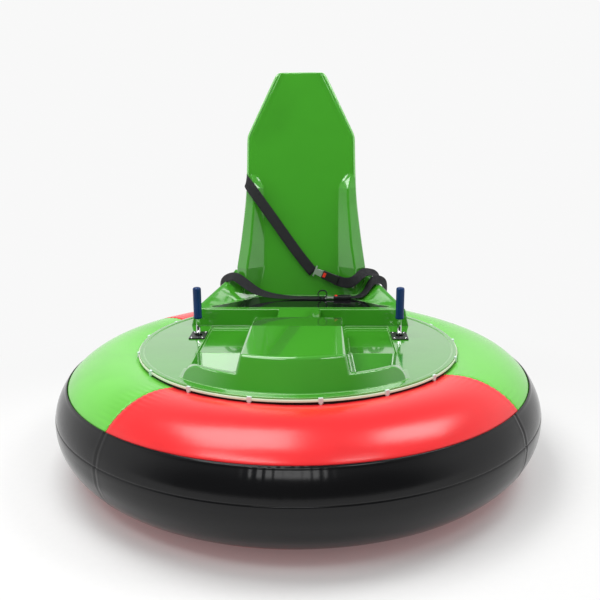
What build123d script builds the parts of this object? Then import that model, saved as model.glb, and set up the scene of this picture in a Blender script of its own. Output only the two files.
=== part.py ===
# Round bumper car for one rider, carried on four wheels, with an inflated ring round it.
# Millimetres. +Z is up, the front is towards -Y, +X is the right of the picture.
# The origin is on the floor under the middle of the ring.
import os
from math import acos, cos, degrees, radians, sin, sqrt

from build123d import *

os.makedirs("parts", exist_ok=True)

# Inflated ring
ring_inner_radius = 450
ring_section_width = 500
ring_section_height = 430
ring_ground_clearance = 12
top_seam_angle = 36.3  # on the section, up from level, where the coloured top meets the side band
low_seam_angle = -54  # on the section, where the side band meets the base
# Top panels: azimuth of one edge (0 is the front, positive to the right), sweep, colour
top_panels = (
    (-41.5, 100.0, "red"),
    (58.5, 83.5, "green"),
    (142.0, 92.5, "red"),
    (234.5, 84.0, "green"),
)
valve_radius = 24
valve_height = 9
valve_angle = -25  # on the section, up from level
valve_sector = (170, 20)  # azimuth and sweep of the ring cut from it

# Deck, its rim on a foam rubber seal over the ring
deck_reach = 178  # of the rim over the ring's inner part
deck_wall = 8
bead_width = 16
bead_rise = 3
bead_edge = 1.4
skirt_wall = 8
seal_height = 14.1  # between ring and deck, at the rim
seal_width = 46
seal_inset = 2
seal_gap = 0.3
strip_drop = 12  # from the deck's top down to the light strip's foot
strip_height = 10
strip_depth = 5
clip_count = 17
clip_start = -81.4
clip_width = 15
clip_depth = 3  # in front of the strip
clip_lip = 4.5  # over the strip
clip_foot = 3  # under the strip
clip_tail_width = 9
clip_tail_gap = 1  # over the ring

# Foot tray and footwells. Margins are measured in from the ring's inner radius
tray_drop = 11
tray_margin = 65
seat_length = 388  # from the riser back to the deck's rim
foot_room = 135  # from the console back to the riser
slope_length = 135
slope_margin = 200
well_depth = 125
well_draft = 30  # of its outer wall, over its depth
well_toe_reach = 5  # of its floor over the ring's inner radius
well_edge = 12  # rounding

# Console between the footwells, and cowl round them
cowl_margin = 38  # from the deck's rim in to the foot of the sloping front face
front_lean = 0.5  # how far the front face comes in for each millimetre up
console_rise = 110
console_half_top = 178
console_half_foot = 207  # where it meets the tray
console_edge = 13  # rounding
ramp_length = 255
ramp_drop = 33
tab_half_width = 91
tab_edge = 6  # rounding
cowl_rise = 50
cowl_thickness = 20
cowl_bulk_depth = 75  # of the wall before the footwells are cut into it
cowl_edge = 6.5  # rounding
cowl_drop_start = 55  # from the tray's side in to where the cowl's top begins to fall
cowl_drop_angle = 78
cowl_tip_rise = 4
cowl_tip_reach = 19

# Seat
seat_wall = 8
lid_rise = 75
lid_thickness = 8
lid_front_setback = 37  # from the riser
lid_rear_setback = 236
lid_side_gap = 76  # from the seat base's side, at the riser
lid_rear_gap = 4
lid_rear_bulge = 22
lid_slack = 1.5
crest_edge = 6  # rounding
riser_edge = 8  # rounding
# Seat base sections: setback from the riser, gap from foot to the deck's rim, how far the wall
# leans in, its height over the deck, width of its crest, run of its inner face
base_sections = (
    (0, 96.7, 16, 78, 18, 34),
    (160, 48.0, 32, 125, 22, 66),
    (260, 20.5, 3, 157, 22, 116),
    (312, 18.7, -60, 190, 26, 92),
)
# Seat back sections: height over the deck, how far the face lies in front of the deck's rear rim,
# half width of the recess, of the side wing's crest, how far the wing comes forward, half width outside
back_sections = (
    (75, 120, 200, 262, 46, 292),
    (210, 102, 172, 250, 62, 299),
    (320, 85, 170, 232, 52, 281),
    (495, 58, 170, 218, 34, 258),
    (570, 47, 172, 216, 28, 254),
    (632, 38, 204, 232, 2, 251),
    (802, 17, 205, 230, 2, 247),
    (1087, -14, 72, 88, 2, 107),
)
back_depth = 52
back_edge_roll = 6  # how far the outer edges fall behind the face
back_recess_edge = 14  # roundings
back_wing_edge = 9
back_outer_edge = 8
back_corner = 26

# Steering levers
plate_width = 66
plate_length = 100
plate_thickness = 5
plate_hole_radius = 16
lever_setback = 158  # in front of the riser
lever_pivot_drop = 7  # below the deck's top
lever_rod_radius = 6
lever_ball_radius = 9
lever_pin_radius = 3
grip_radius = 18
grip_rise = 76  # from the deck to its foot
grip_length = 133
grip_bore_depth = 60
housing_width = 48
housing_length = 60
housing_height = 62
collar_radius = 22
collar_bore_radius = 17
collar_bore_depth = 30
running_gap = 0.05

# Floor pan and frame
pan_margin = 10
pan_height = 135
pan_thickness = 4
tube_size = 40
rail_margin = 2  # from the rail's corner to the pan's rim
rail_wheel_gap = 107  # between their middles
middle_tube_y = 60
front_post_setback = 80  # from the rail's end
middle_post_y = 20

# Batteries and controller
battery_middle_gap = 12
battery_side_gap = 13
battery_end_gap = 10
battery_height = 190
controller_size = (160, 120, 60)
controller_y = -150

# Drive wheels
wheel_radius = 90
wheel_width = 45
wheel_margin = 128  # from the ring's inner radius in to the wheel's middle
wheel_y = 40
rim_radius = 62
hub_width = 36
shaft_radius = 10
shaft_depth = 34  # into the gear motor
shaft_end_gap = 3
motor_radius = 40
motor_wheel_gap = 40  # from the motor's face to the wheel's middle
motor_length = 170
bracket_length = 60
bracket_half_width = 50
slot_clearance = 16

# Casters
caster_margin = 105  # from the pan's rim in to the kingpin
caster_radius = 50
caster_width = 26
caster_trail = 32
caster_axle_radius = 5
caster_boss_radius = 10
caster_boss_chamfer = 1
caster_plate_size = 92
caster_plate_thickness = 5
race_radius = 22
race_height = 2
race_gap = 0.3
kingpin_radius = 6
fork_top_radius = 28
fork_top_thickness = 8
fork_wall = 4
fork_inside_half = 19
leg_end_radius = 13

# Rider's belt
strap_width = 48
strap_thickness = 3
buckle_thickness = 16
buckle_width = 44
tongue_width = 36
tongue_thickness = 3
strap_seat_gap = 0.3
tongue_rise = 5  # of the lap tongue over the lid
lap_setback = 190  # from the riser
lap_end_rise = 85  # of the strap's outer end over the deck
# Across the car, from the crest of the seat's side wall
lap_outside = 14  # out to the strap's end
lap_bend = 1  # out to its bend over the crest
lap_inside = 50  # in to where it leaves the crest
lap_foot_inside = 153  # in to where it meets the lid
lap_buckle_inside = 156  # in to the end of the buckle
lap_end_gap = 2
lap_buckle_length = 82
lap_tongue_length = 31.4
# Shoulder straps, buckles and tongues: x, distance in front of the deck's rear rim, height over the deck
shoulder_points = ((-257, 52, 653), (-199, 80.2, 565), (55, 122, 204))
shoulder_end_points = ((170.1, 134, 156.5), (196, 150, 149), (262, 179, 171), (330, 141, 200))
shoulder_buckle = ((88.5, 128.5, 190), (166, 133, 159))
shoulder_tongue = ((45, 125.8, 207), (88, 128.5, 190))

ring_half_width = ring_section_width / 2
ring_half_height = ring_section_height / 2
ring_radius = ring_inner_radius + ring_half_width
ring_outer_radius = ring_radius + ring_half_width
ring_mid_height = ring_ground_clearance + ring_half_height
sides = ((-1, "left"), (1, "right"))


def ring_top_at(radius):
    """Height of the ring's upper surface at a distance from the middle."""
    return ring_mid_height + ring_half_height * sqrt(1 - ((radius - ring_radius) / ring_half_width) ** 2)


deck_radius = ring_inner_radius + deck_reach
deck_under = ring_top_at(deck_radius) + seal_height
deck_height = deck_under + deck_wall
tray_height = deck_height - tray_drop
tray_under = tray_height - deck_wall
tray_half_width = ring_inner_radius - tray_margin
riser_y = deck_radius - seat_length
well_floor_height = deck_height - well_depth
well_floor_rear = slope_margin - ring_inner_radius
tray_front = well_floor_rear + slope_length
front_foot_radius = deck_radius - cowl_margin
console_height = deck_height + console_rise
console_rear = riser_y - foot_room
ramp_foot_height = console_height - ramp_drop
cowl_height = deck_height + cowl_rise
cowl_inner_radius = front_foot_radius - front_lean * cowl_rise - cowl_thickness
lid_height = deck_height + lid_rise
lever_x = tray_half_width + plate_width / 2
lever_y = riser_y - lever_setback
lever_pivot_height = deck_height - lever_pivot_drop
pan_radius = ring_inner_radius - pan_margin
pan_top = pan_height + pan_thickness
tube_top = pan_top + tube_size


def export(part, name):
    part.label = name
    export_step(part, f"parts/{name}.step")


def front_radius(height):
    """Radius of the sloping front face of console and cowl at a height."""
    return front_foot_radius - front_lean * (height - deck_height)


def console_side_at(height):
    """Half width of the console at a height, also down the footwell's inner wall."""
    lean = (console_half_foot - console_half_top) / (console_height - tray_height)
    return console_half_foot - lean * (height - tray_height)


def tray_side_at(height):
    """Half width of the tray at a height, also down the footwell's outer wall."""
    return tray_half_width + well_draft * (height - deck_height) / well_depth


def azimuth_plane(azimuth):
    """Upright plane through the middle, x outwards at an azimuth from the front, y up."""
    outwards = (sin(radians(azimuth)), -cos(radians(azimuth)), 0)
    return Plane(origin=(0, 0, 0), x_dir=outwards, z_dir=(outwards[1], -outwards[0], 0))


def ring_wedge(start_angle, end_angle, sectors):
    """Part of the ring between its middle line and its skin, one solid for each sector."""
    with BuildPart() as wedge:
        for azimuth, sweep in sectors:
            with BuildSketch(azimuth_plane(azimuth)):
                with BuildLine():
                    skin = EllipticalCenterArc(
                        (ring_radius, ring_mid_height),
                        ring_half_width,
                        ring_half_height,
                        start_angle=start_angle,
                        arc_size=end_angle - start_angle,
                    )
                    Line(skin @ 1, (ring_radius, ring_mid_height))
                    Line((ring_radius, ring_mid_height), skin @ 0)
                make_face()
            revolve(axis=Axis.Z, revolution_arc=sweep)
    return wedge.part


# Inflated ring, as the panels that its cover is welded from
for colour in ("green", "red"):
    sectors = [(azimuth, sweep) for azimuth, sweep, name in top_panels if name == colour]
    export(ring_wedge(top_seam_angle, 180, sectors), f"ring_top_{colour}")
export(ring_wedge(low_seam_angle, top_seam_angle, [(0, 360)]), "ring_side_band")
export(ring_wedge(-180, low_seam_angle, [(0, 360)]), "ring_base")

# Air valve on the back of the side band
valve_out = (cos(radians(valve_angle)), sin(radians(valve_angle)))
valve_y = ring_radius + ring_half_width * valve_out[0]
valve_z = ring_mid_height + ring_half_height * valve_out[1]
valve_normal = Vector(0, valve_out[0] / ring_half_width, valve_out[1] / ring_half_height).normalized()
with BuildPart() as air_valve:
    with BuildSketch(Plane(origin=(0, valve_y, valve_z), x_dir=(1, 0, 0), z_dir=valve_normal)):
        Circle(valve_radius)
    extrude(amount=valve_height, both=True)
    add(ring_wedge(low_seam_angle, top_seam_angle, [valve_sector]), mode=Mode.SUBTRACT)
export(air_valve.part, "air_valve")


def disc_ring(inner, outer, low, high):
    """Flat ring about the upright axis."""
    with BuildPart() as flat_ring:
        with BuildSketch(Plane.XY.offset(low)):
            Circle(outer)
            if inner > 0:
                Circle(inner, mode=Mode.SUBTRACT)
        extrude(amount=high - low)
    return flat_ring.part


def front_cone(inset, low, high):
    """Everything behind the sloping front face, moved in by a wall."""
    with BuildPart() as cone:
        with BuildSketch(Plane.XZ):
            with BuildLine():
                Polyline(
                    (0, low),
                    (front_radius(low) - inset, low),
                    (front_radius(high) - inset, high),
                    (0, high),
                    close=True,
                )
            make_face()
        revolve(axis=Axis.Z)
    return cone.part


def console_form(inset, foot, rounding):
    """Console and the tab behind it, its walls moved in by inset and its foot at a height."""
    top = console_height - inset
    half_foot = console_side_at(foot) - inset
    half_top = console_half_top - inset
    with BuildPart() as console:
        with BuildSketch(Plane.XZ.offset(-console_rear + inset)):
            with BuildLine():
                Polyline(
                    (-half_foot, foot),
                    (-half_top, top),
                    (half_top, top),
                    (half_foot, foot),
                    close=True,
                )
            make_face()
        extrude(amount=console_rear + front_foot_radius)
        with BuildSketch(Plane.YZ):
            with BuildLine():
                Polyline(
                    (-deck_radius, foot),
                    (-deck_radius, top),
                    (console_rear - ramp_length, top),
                    (console_rear - inset, ramp_foot_height - inset),
                    (console_rear - inset, foot),
                    close=True,
                )
            make_face()
        extrude(amount=half_foot, both=True, mode=Mode.INTERSECT)
        add(front_cone(inset, foot, console_height), mode=Mode.INTERSECT)
        if rounding:
            fillet(console.edges().group_by(Axis.Z)[1:], console_edge)
    tab_front = console_rear - 2 * console_edge
    tab_rear = riser_y - inset
    with BuildPart() as tab:
        with BuildSketch(Plane.XY.offset(foot)):
            with Locations((0, (tab_front + tab_rear) / 2)):
                Rectangle(2 * (tab_half_width - inset), tab_rear - tab_front)
        extrude(amount=ramp_foot_height - inset - foot)
        if rounding:
            fillet(tab.edges().filter_by(Axis.Y).group_by(Axis.Z)[-1], tab_edge)
    return console.part + tab.part


def well_form(side, inset, top, rounding, spread=0):
    """Space of one footwell up to a height. An inset grows it, and a spread moves out its outer wall."""
    floor = well_floor_height - inset
    floor_radius = ring_inner_radius + well_toe_reach + inset
    front_slope = (cowl_inner_radius + inset - floor_radius) / (cowl_height - well_floor_height)
    rear_slope = slope_length / (tray_height - well_floor_height)
    with BuildPart() as well:
        with BuildSketch(Plane.XZ):
            with BuildLine():
                Polyline(
                    (side * (console_side_at(floor) - inset), floor),
                    (side * (console_side_at(top) - inset), top),
                    (side * (tray_side_at(top) + inset + spread), top),
                    (side * (tray_side_at(floor) + inset + spread), floor),
                    close=True,
                )
            make_face()
        extrude(amount=deck_radius, both=True)
        with BuildSketch(Plane.YZ):
            with BuildLine():
                Polyline(
                    (well_floor_rear + inset, floor),
                    (well_floor_rear + inset + rear_slope * (top - floor), top),
                    (-deck_radius, top),
                    (-deck_radius, floor),
                    close=True,
                )
            make_face()
        extrude(amount=side * 2 * deck_radius, mode=Mode.INTERSECT)
        with BuildSketch(Plane.XZ):
            with BuildLine():
                Polyline(
                    (0, floor),
                    (floor_radius, floor),
                    (floor_radius + front_slope * (top - floor), top),
                    (0, top),
                    close=True,
                )
            make_face()
        revolve(axis=Axis.Z, mode=Mode.INTERSECT)
        if rounding:
            fillet(well.edges().group_by(Axis.Z)[:-1], well_edge)
    return well.part


def cowl_form():
    """Low wall round the front of both footwells, dropping to the deck at its tips."""
    flat_half = tray_half_width - cowl_drop_start
    tip_x = tray_half_width + cowl_tip_reach
    drop_radius = (cowl_rise - cowl_tip_rise) / (1 - cos(radians(cowl_drop_angle)))
    with BuildPart() as cowl:
        add(front_cone(0, deck_height, cowl_height))
        add(front_cone(cowl_bulk_depth, deck_height, cowl_height), mode=Mode.SUBTRACT)
        for side, name in sides:
            add(well_form(side, 0, console_height, True, deck_reach), mode=Mode.SUBTRACT)
        with BuildSketch(Plane.XZ):
            with BuildLine():
                Line((-flat_half, cowl_height), (flat_half, cowl_height))
                right_drop = JernArc((flat_half, cowl_height), (1, 0), drop_radius, -cowl_drop_angle)
                left_drop = JernArc((-flat_half, cowl_height), (-1, 0), drop_radius, cowl_drop_angle)
                Polyline(
                    right_drop @ 1,
                    (tip_x, deck_height),
                    (-tip_x, deck_height),
                    left_drop @ 1,
                )
            make_face()
        extrude(amount=deck_radius, mode=Mode.INTERSECT)
        crown = cowl.edges().group_by(Axis.Z)[-1].filter_by(GeomType.CIRCLE)
        fillet(crown.filter_by(lambda edge: edge.radius > cowl_inner_radius - cowl_edge), cowl_edge)
    return cowl.part


def tray_form(top):
    """Space over the foot tray up to a height."""
    half_foot = tray_side_at(tray_height)
    half_top = tray_side_at(top)
    with BuildPart() as tray:
        with BuildSketch(Plane.XZ.offset(-riser_y)):
            with BuildLine():
                Polyline(
                    (-half_foot, tray_height),
                    (-half_top, top),
                    (half_top, top),
                    (half_foot, tray_height),
                    close=True,
                )
            make_face()
        extrude(amount=riser_y - tray_front)
    return tray.part


# Deck shell: one moulding with tray, footwells, cowl and console
with BuildPart() as rim_bead:
    add(disc_ring(deck_radius - bead_width, deck_radius, deck_height, deck_height + bead_rise))
    fillet(rim_bead.edges().group_by(Axis.Z)[-1], bead_edge)
with BuildPart() as deck_shell:
    add(disc_ring(0, deck_radius, deck_under, deck_height))
    with BuildSketch(Plane.XY.offset(tray_under)):
        with Locations((0, (riser_y + tray_front) / 2)):
            Rectangle(2 * (tray_half_width + deck_wall), riser_y - tray_front + 2 * deck_wall)
    extrude(amount=deck_wall + tray_drop)
    for side, name in sides:
        add(well_form(side, deck_wall, deck_height, False))
    add(tray_form(deck_height), mode=Mode.SUBTRACT)
    for side, name in sides:
        add(well_form(side, 0, console_height, True), mode=Mode.SUBTRACT)
    add(cowl_form())
    add(console_form(0, tray_under, True))
    add(console_form(deck_wall, tray_under, False), mode=Mode.SUBTRACT)
    add(rim_bead.part)
    add(disc_ring(deck_radius - skirt_wall, deck_radius, deck_height - strip_drop, deck_under))
    with Locations(*[(side * lever_x, lever_y, deck_height) for side, name in sides]):
        Hole(collar_radius + running_gap)
export(deck_shell.part, "deck_shell")

# Foam rubber seal between the deck and the ring, its foot lying on the ring
seal_outer_radius = deck_radius - seal_inset
seal_inner_radius = seal_outer_radius - seal_width
with BuildPart() as rim_seal:
    with BuildSketch(Plane.XZ):
        with BuildLine():
            seat_start, seat_end = [
                degrees(acos((radius - ring_radius) / (ring_half_width + seal_gap)))
                for radius in (seal_inner_radius, seal_outer_radius)
            ]
            ring_seat = EllipticalCenterArc(
                (ring_radius, ring_mid_height),
                ring_half_width + seal_gap,
                ring_half_height + seal_gap,
                start_angle=seat_end,
                arc_size=seat_start - seat_end,
            )
            Polyline(
                ring_seat @ 1,
                (seal_inner_radius, deck_under),
                (deck_radius - skirt_wall, deck_under),
                (deck_radius - skirt_wall, deck_height - strip_drop),
                (seal_outer_radius, deck_height - strip_drop),
                ring_seat @ 0,
            )
        make_face()
    revolve(axis=Axis.Z)
    add(console_form(0, tray_under, False), mode=Mode.SUBTRACT)
    for side, name in sides:
        add(well_form(side, deck_wall, deck_height, False), mode=Mode.SUBTRACT)
export(rim_seal.part, "rim_seal")

# Light strip round the rim, and the clips that hold it
strip_foot = deck_height - strip_drop
strip_top = strip_foot + strip_height
export(disc_ring(deck_radius, deck_radius + strip_depth, strip_foot, strip_top), "light_strip")
clip_radius = deck_radius + (strip_depth + clip_depth) / 2
tail_foot = ring_top_at(deck_radius + strip_depth + clip_depth) + clip_tail_gap
with BuildPart() as strip_clips:
    with PolarLocations(clip_radius, clip_count, start_angle=clip_start):
        with Locations((0, 0, strip_foot - clip_foot)):
            Box(
                strip_depth + clip_depth,
                clip_width,
                clip_foot + strip_height + clip_lip,
                align=(Align.CENTER, Align.CENTER, Align.MIN),
            )
        with Locations((0, 0, tail_foot)):
            Box(
                strip_depth + clip_depth,
                clip_tail_width,
                strip_foot - tail_foot,
                align=(Align.CENTER, Align.CENTER, Align.MIN),
            )
    add(disc_ring(0, deck_radius, tail_foot, strip_top + 2 * clip_lip), mode=Mode.SUBTRACT)
    add(disc_ring(0, deck_radius + strip_depth, strip_foot, strip_top), mode=Mode.SUBTRACT)
export(strip_clips.part, "strip_clips")


def base_section(setback, gap, lean, crest_rise, crest_width, run):
    """Half widths of a seat base section: at its foot, crest, crest's inner edge and pan; crest's height."""
    foot = sqrt((deck_radius - gap) ** 2 - (riser_y + setback) ** 2)
    crest = foot - lean
    return foot, crest, crest - crest_width, crest - crest_width - run, deck_height + crest_rise


def lid_outline(slack):
    """Outline of the seat lid, shrunk by a slack."""
    lid_front_half = base_section(*base_sections[0])[0] - lid_side_gap
    lid_rear_half = back_sections[0][2] - lid_rear_gap
    lid_front_y = riser_y + lid_front_setback
    lid_rear_y = riser_y + lid_rear_setback
    with BuildSketch() as outline:
        with BuildLine():
            half_front = lid_front_half - 3 * slack
            front = Line((-half_front, lid_front_y + slack), (half_front, lid_front_y + slack))
            rear = ThreePointArc(
                (lid_rear_half - slack, lid_rear_y - slack),
                (0, lid_rear_y + lid_rear_bulge - slack),
                (-lid_rear_half + slack, lid_rear_y - slack),
            )
            Line(front @ 1, rear @ 0)
            Line(rear @ 1, front @ 0)
        make_face()
    return outline.sketch


def seat_base_form(inset):
    """Seat base lofted through its sections, its walls moved in by inset."""
    first_y = riser_y + base_sections[0][0]
    last_y = riser_y + base_sections[-1][0]
    rise = 1.5 * inset
    edge = 0 if inset else crest_edge
    pan_level = lid_height - (lid_thickness + inset if inset else 0)
    with BuildPart() as base:
        for section in base_sections:
            foot, crest, crest_inner, pan_half, crest_height = base_section(*section)
            section_y = min(max(riser_y + section[0], first_y + inset), last_y - inset)
            with BuildSketch(Plane.XZ.offset(-section_y)):
                with BuildLine():
                    half = [
                        (foot - inset, deck_height),
                        (crest - inset, crest_height - rise),
                        (crest_inner + inset / 4, crest_height - rise),
                        (pan_half + inset / 2, pan_level),
                    ]
                    edges = [0, edge, edge, 0]
                    outline = half + [(-x, z) for x, z in reversed(half)]
                    FilletPolyline(*outline, radius=edges + edges[::-1], close=True)
                make_face()
        loft(ruled=True)
    return base.part


def seat_back_form(inset):
    """Seat back lofted through its sections; with an inset it is the hollow behind it."""
    low = deck_height + back_sections[0][0]
    top = deck_height + back_sections[-1][0]
    edges = [0, 0, 0, 0] if inset else [back_recess_edge, back_wing_edge, back_outer_edge, 0]
    with BuildPart() as back:
        for height, ahead, recess, wing, forward, outer in back_sections:
            section_height = min(max(deck_height + height, low + inset), top - inset)
            face_y = deck_radius - ahead
            rear_y = face_y + back_depth + 2 * inset
            roll_y = face_y - 0.4 * forward + back_edge_roll
            with BuildSketch(Plane.XY.offset(section_height)):
                with BuildLine():
                    half = [
                        (recess, face_y + inset),
                        (wing, face_y - forward + 1.2 * inset),
                        (outer - inset, roll_y + inset),
                        (outer - inset, rear_y),
                    ]
                    outline = half + [(-x, y) for x, y in reversed(half)]
                    FilletPolyline(*outline, radius=edges + edges[::-1], close=True)
                make_face()
        loft(ruled=True)
        if inset == 0:
            with BuildSketch(Plane.XZ):
                with BuildLine():
                    outline = [(section[-1], deck_height + section[0]) for section in back_sections]
                    outline = outline + [(-x, z) for x, z in reversed(outline)]
                    corners = [0] + (len(back_sections) - 1) * [back_corner]
                    FilletPolyline(*outline, radius=corners + corners[::-1], close=True)
                make_face()
            extrude(amount=-2 * deck_radius, mode=Mode.INTERSECT)
    return back.part


seat_back_solid = seat_back_form(0)
with BuildPart() as seat_back:
    add(seat_back_solid)
    add(seat_back_form(seat_wall), mode=Mode.SUBTRACT)
export(seat_back.part, "seat_back")

with BuildPart() as seat_base:
    add(seat_base_form(0))
    add(seat_base_form(seat_wall), mode=Mode.SUBTRACT)
    with BuildSketch(Plane.XY.offset(lid_height - lid_thickness)):
        add(lid_outline(0))
    extrude(amount=2 * lid_thickness, mode=Mode.SUBTRACT)
    add(seat_back_solid, mode=Mode.SUBTRACT)
export(seat_base.part, "seat_base")

with BuildPart() as seat_lid:
    with BuildSketch(Plane.XY.offset(lid_height - lid_thickness)):
        add(lid_outline(lid_slack))
    extrude(amount=lid_thickness)
export(seat_lid.part, "seat_lid")

# Steering levers: plate on the deck, housing under it, lever and grip
housing_foot_height = deck_under - housing_height
grip_foot_height = deck_height + grip_rise
with BuildPart() as lever_plates:
    with Locations(*[(side * lever_x, lever_y, deck_height + plate_thickness / 2) for side, name in sides]):
        Box(plate_width, plate_length, plate_thickness)
        Hole(plate_hole_radius)
export(lever_plates.part, "lever_plates")

for side, name in sides:
    x = side * lever_x
    with BuildPart() as housing:
        with BuildSketch(Plane.XY.offset(housing_foot_height)):
            with Locations((x, lever_y)):
                Rectangle(housing_width, housing_length)
        extrude(amount=housing_height)
        with BuildSketch(Plane.XY.offset(deck_under)):
            with Locations((x, lever_y)):
                Circle(collar_radius)
        extrude(amount=deck_wall)
        with Locations((x, lever_y, deck_height)):
            Hole(collar_bore_radius, depth=collar_bore_depth)
        with Locations(Plane(origin=(x, lever_y, lever_pivot_height), x_dir=(0, 1, 0), z_dir=(1, 0, 0))):
            Cylinder(lever_pin_radius + running_gap, 2 * collar_radius, mode=Mode.SUBTRACT)
    export(housing.part, f"lever_housing_{name}")

    with BuildPart() as lever:
        with Locations((x, lever_y, lever_pivot_height)):
            Sphere(lever_ball_radius)
        with Locations(Plane(origin=(x, lever_y, lever_pivot_height), x_dir=(0, 1, 0), z_dir=(1, 0, 0))):
            Cylinder(lever_pin_radius, collar_bore_radius + collar_radius)
        with BuildSketch(Plane.XY.offset(lever_pivot_height)):
            with Locations((x, lever_y)):
                Circle(lever_rod_radius)
        extrude(amount=grip_foot_height + grip_bore_depth - lever_pivot_height)
    export(lever.part, f"lever_{name}")

    with BuildPart() as grip:
        with BuildSketch(Plane.XY.offset(grip_foot_height)):
            with Locations((x, lever_y)):
                Circle(grip_radius)
        extrude(amount=grip_length)
        fillet(grip.edges().group_by(Axis.Z)[-1], grip_radius / 4)
        with BuildSketch(Plane.XY.offset(grip_foot_height)):
            with Locations((x, lever_y)):
                Circle(lever_rod_radius)
        extrude(amount=grip_bore_depth, mode=Mode.SUBTRACT)
    export(grip.part, f"grip_{name}")

# Floor pan with a slot over each drive wheel
wheel_x = ring_inner_radius - wheel_margin
slot_length = 2 * (sqrt(wheel_radius**2 - (pan_height - wheel_radius) ** 2) + slot_clearance)
with BuildPart() as floor_pan:
    add(disc_ring(0, pan_radius, pan_height, pan_top))
    with BuildSketch(Plane.XY.offset(pan_height)):
        with Locations(*[(side * wheel_x, wheel_y) for side, name in sides]):
            Rectangle(wheel_width + 2 * slot_clearance, slot_length)
    extrude(amount=pan_thickness, mode=Mode.SUBTRACT)
export(floor_pan.part, "floor_pan")

# Frame of square tube on the pan, with posts up to the footwells, the tray and the deck
rail_x = wheel_x - rail_wheel_gap
rail_half_length = sqrt((pan_radius - rail_margin) ** 2 - (rail_x + tube_size / 2) ** 2)
rail_inside = rail_x - tube_size / 2
end_tube_y = rail_half_length - tube_size / 2
with BuildPart() as chassis_frame:
    with Locations(*[(side * rail_x, 0, pan_top + tube_size / 2) for side, name in sides]):
        Box(tube_size, 2 * rail_half_length, tube_size)
    with Locations(*[(0, y, pan_top + tube_size / 2) for y in (-end_tube_y, middle_tube_y, end_tube_y)]):
        Box(2 * rail_inside, tube_size, tube_size)
    post_tops = (
        (front_post_setback - rail_half_length, well_floor_height - deck_wall),
        (middle_post_y, tray_under),
        (end_tube_y, deck_under),
    )
    for y, top in post_tops:
        with Locations(*[(side * rail_x, y, (tube_top + top) / 2) for side, name in sides]):
            Box(tube_size, tube_size, top - tube_top)
export(chassis_frame.part, "chassis_frame")

# Batteries in the bay between the frame's middle and rear tubes, and the drive controller
bay_front = middle_tube_y + tube_size / 2
bay_rear = end_tube_y - tube_size / 2
battery_width = rail_inside - battery_middle_gap - battery_side_gap
battery_length = bay_rear - bay_front - 2 * battery_end_gap
battery_x = battery_middle_gap + battery_width / 2
for side, name in sides:
    with BuildPart() as battery:
        with Locations((side * battery_x, (bay_front + bay_rear) / 2, pan_top + battery_height / 2)):
            Box(battery_width, battery_length, battery_height)
    export(battery.part, f"battery_{name}")

with BuildPart() as controller_box:
    with Locations((0, controller_y, pan_top + controller_size[2] / 2)):
        Box(*controller_size)
export(controller_box.part, "controller_box")


def wheel_profile(half_width, outer, inner, chamfer_size):
    """Half section of a wheel or tyre about the X axis."""
    with BuildSketch(Plane.XY) as profile:
        with BuildLine():
            Polyline(
                (-half_width, inner),
                (-half_width, outer - chamfer_size),
                (-half_width + chamfer_size, outer),
                (half_width - chamfer_size, outer),
                (half_width, outer - chamfer_size),
                (half_width, inner),
                close=True,
            )
        make_face()
    return profile.sketch


# Drive wheels: gear motor, its bracket, hub with shaft, tyre
motor_outer_x = wheel_x - motor_wheel_gap
for side, name in sides:
    x_out = Plane(origin=(0, wheel_y, wheel_radius), x_dir=(0, 1, 0), z_dir=(side, 0, 0))
    with BuildPart() as drive_motor:
        with BuildSketch(x_out.offset(motor_outer_x - motor_length)):
            Circle(motor_radius)
        extrude(amount=motor_length)
        with BuildSketch(x_out.offset(motor_outer_x)):
            Circle(shaft_radius + running_gap)
        extrude(amount=-shaft_depth - shaft_end_gap, mode=Mode.SUBTRACT)
    export(drive_motor.part, f"drive_motor_{name}")

    with BuildPart() as bracket:
        with BuildSketch(x_out.offset(motor_outer_x - bracket_length - tube_size)):
            Rectangle(2 * bracket_half_width, 2 * (pan_height - wheel_radius))
            Circle(motor_radius + race_gap, mode=Mode.SUBTRACT)
        extrude(amount=bracket_length)
        split(bisect_by=Plane.XY.offset(wheel_radius), keep=Keep.TOP)
    export(bracket.part, f"motor_bracket_{name}")

    with BuildPart() as wheel_hub:
        with BuildSketch(x_out.offset(wheel_x - hub_width / 2)):
            Circle(rim_radius)
        extrude(amount=hub_width)
        with BuildSketch(x_out.offset(motor_outer_x - shaft_depth)):
            Circle(shaft_radius)
        extrude(amount=wheel_x - hub_width / 2 - motor_outer_x + shaft_depth)
    export(wheel_hub.part, f"wheel_hub_{name}")

    with BuildPart() as tyre:
        hub_middle = (side * wheel_x, wheel_y, wheel_radius)
        with BuildSketch(Plane(origin=hub_middle, x_dir=(1, 0, 0), z_dir=(0, 0, 1))):
            add(wheel_profile(wheel_width / 2, wheel_radius, rim_radius, wheel_width / 8))
        revolve(axis=Axis(hub_middle, (1, 0, 0)))
    export(tyre.part, f"tyre_{name}")

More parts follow.
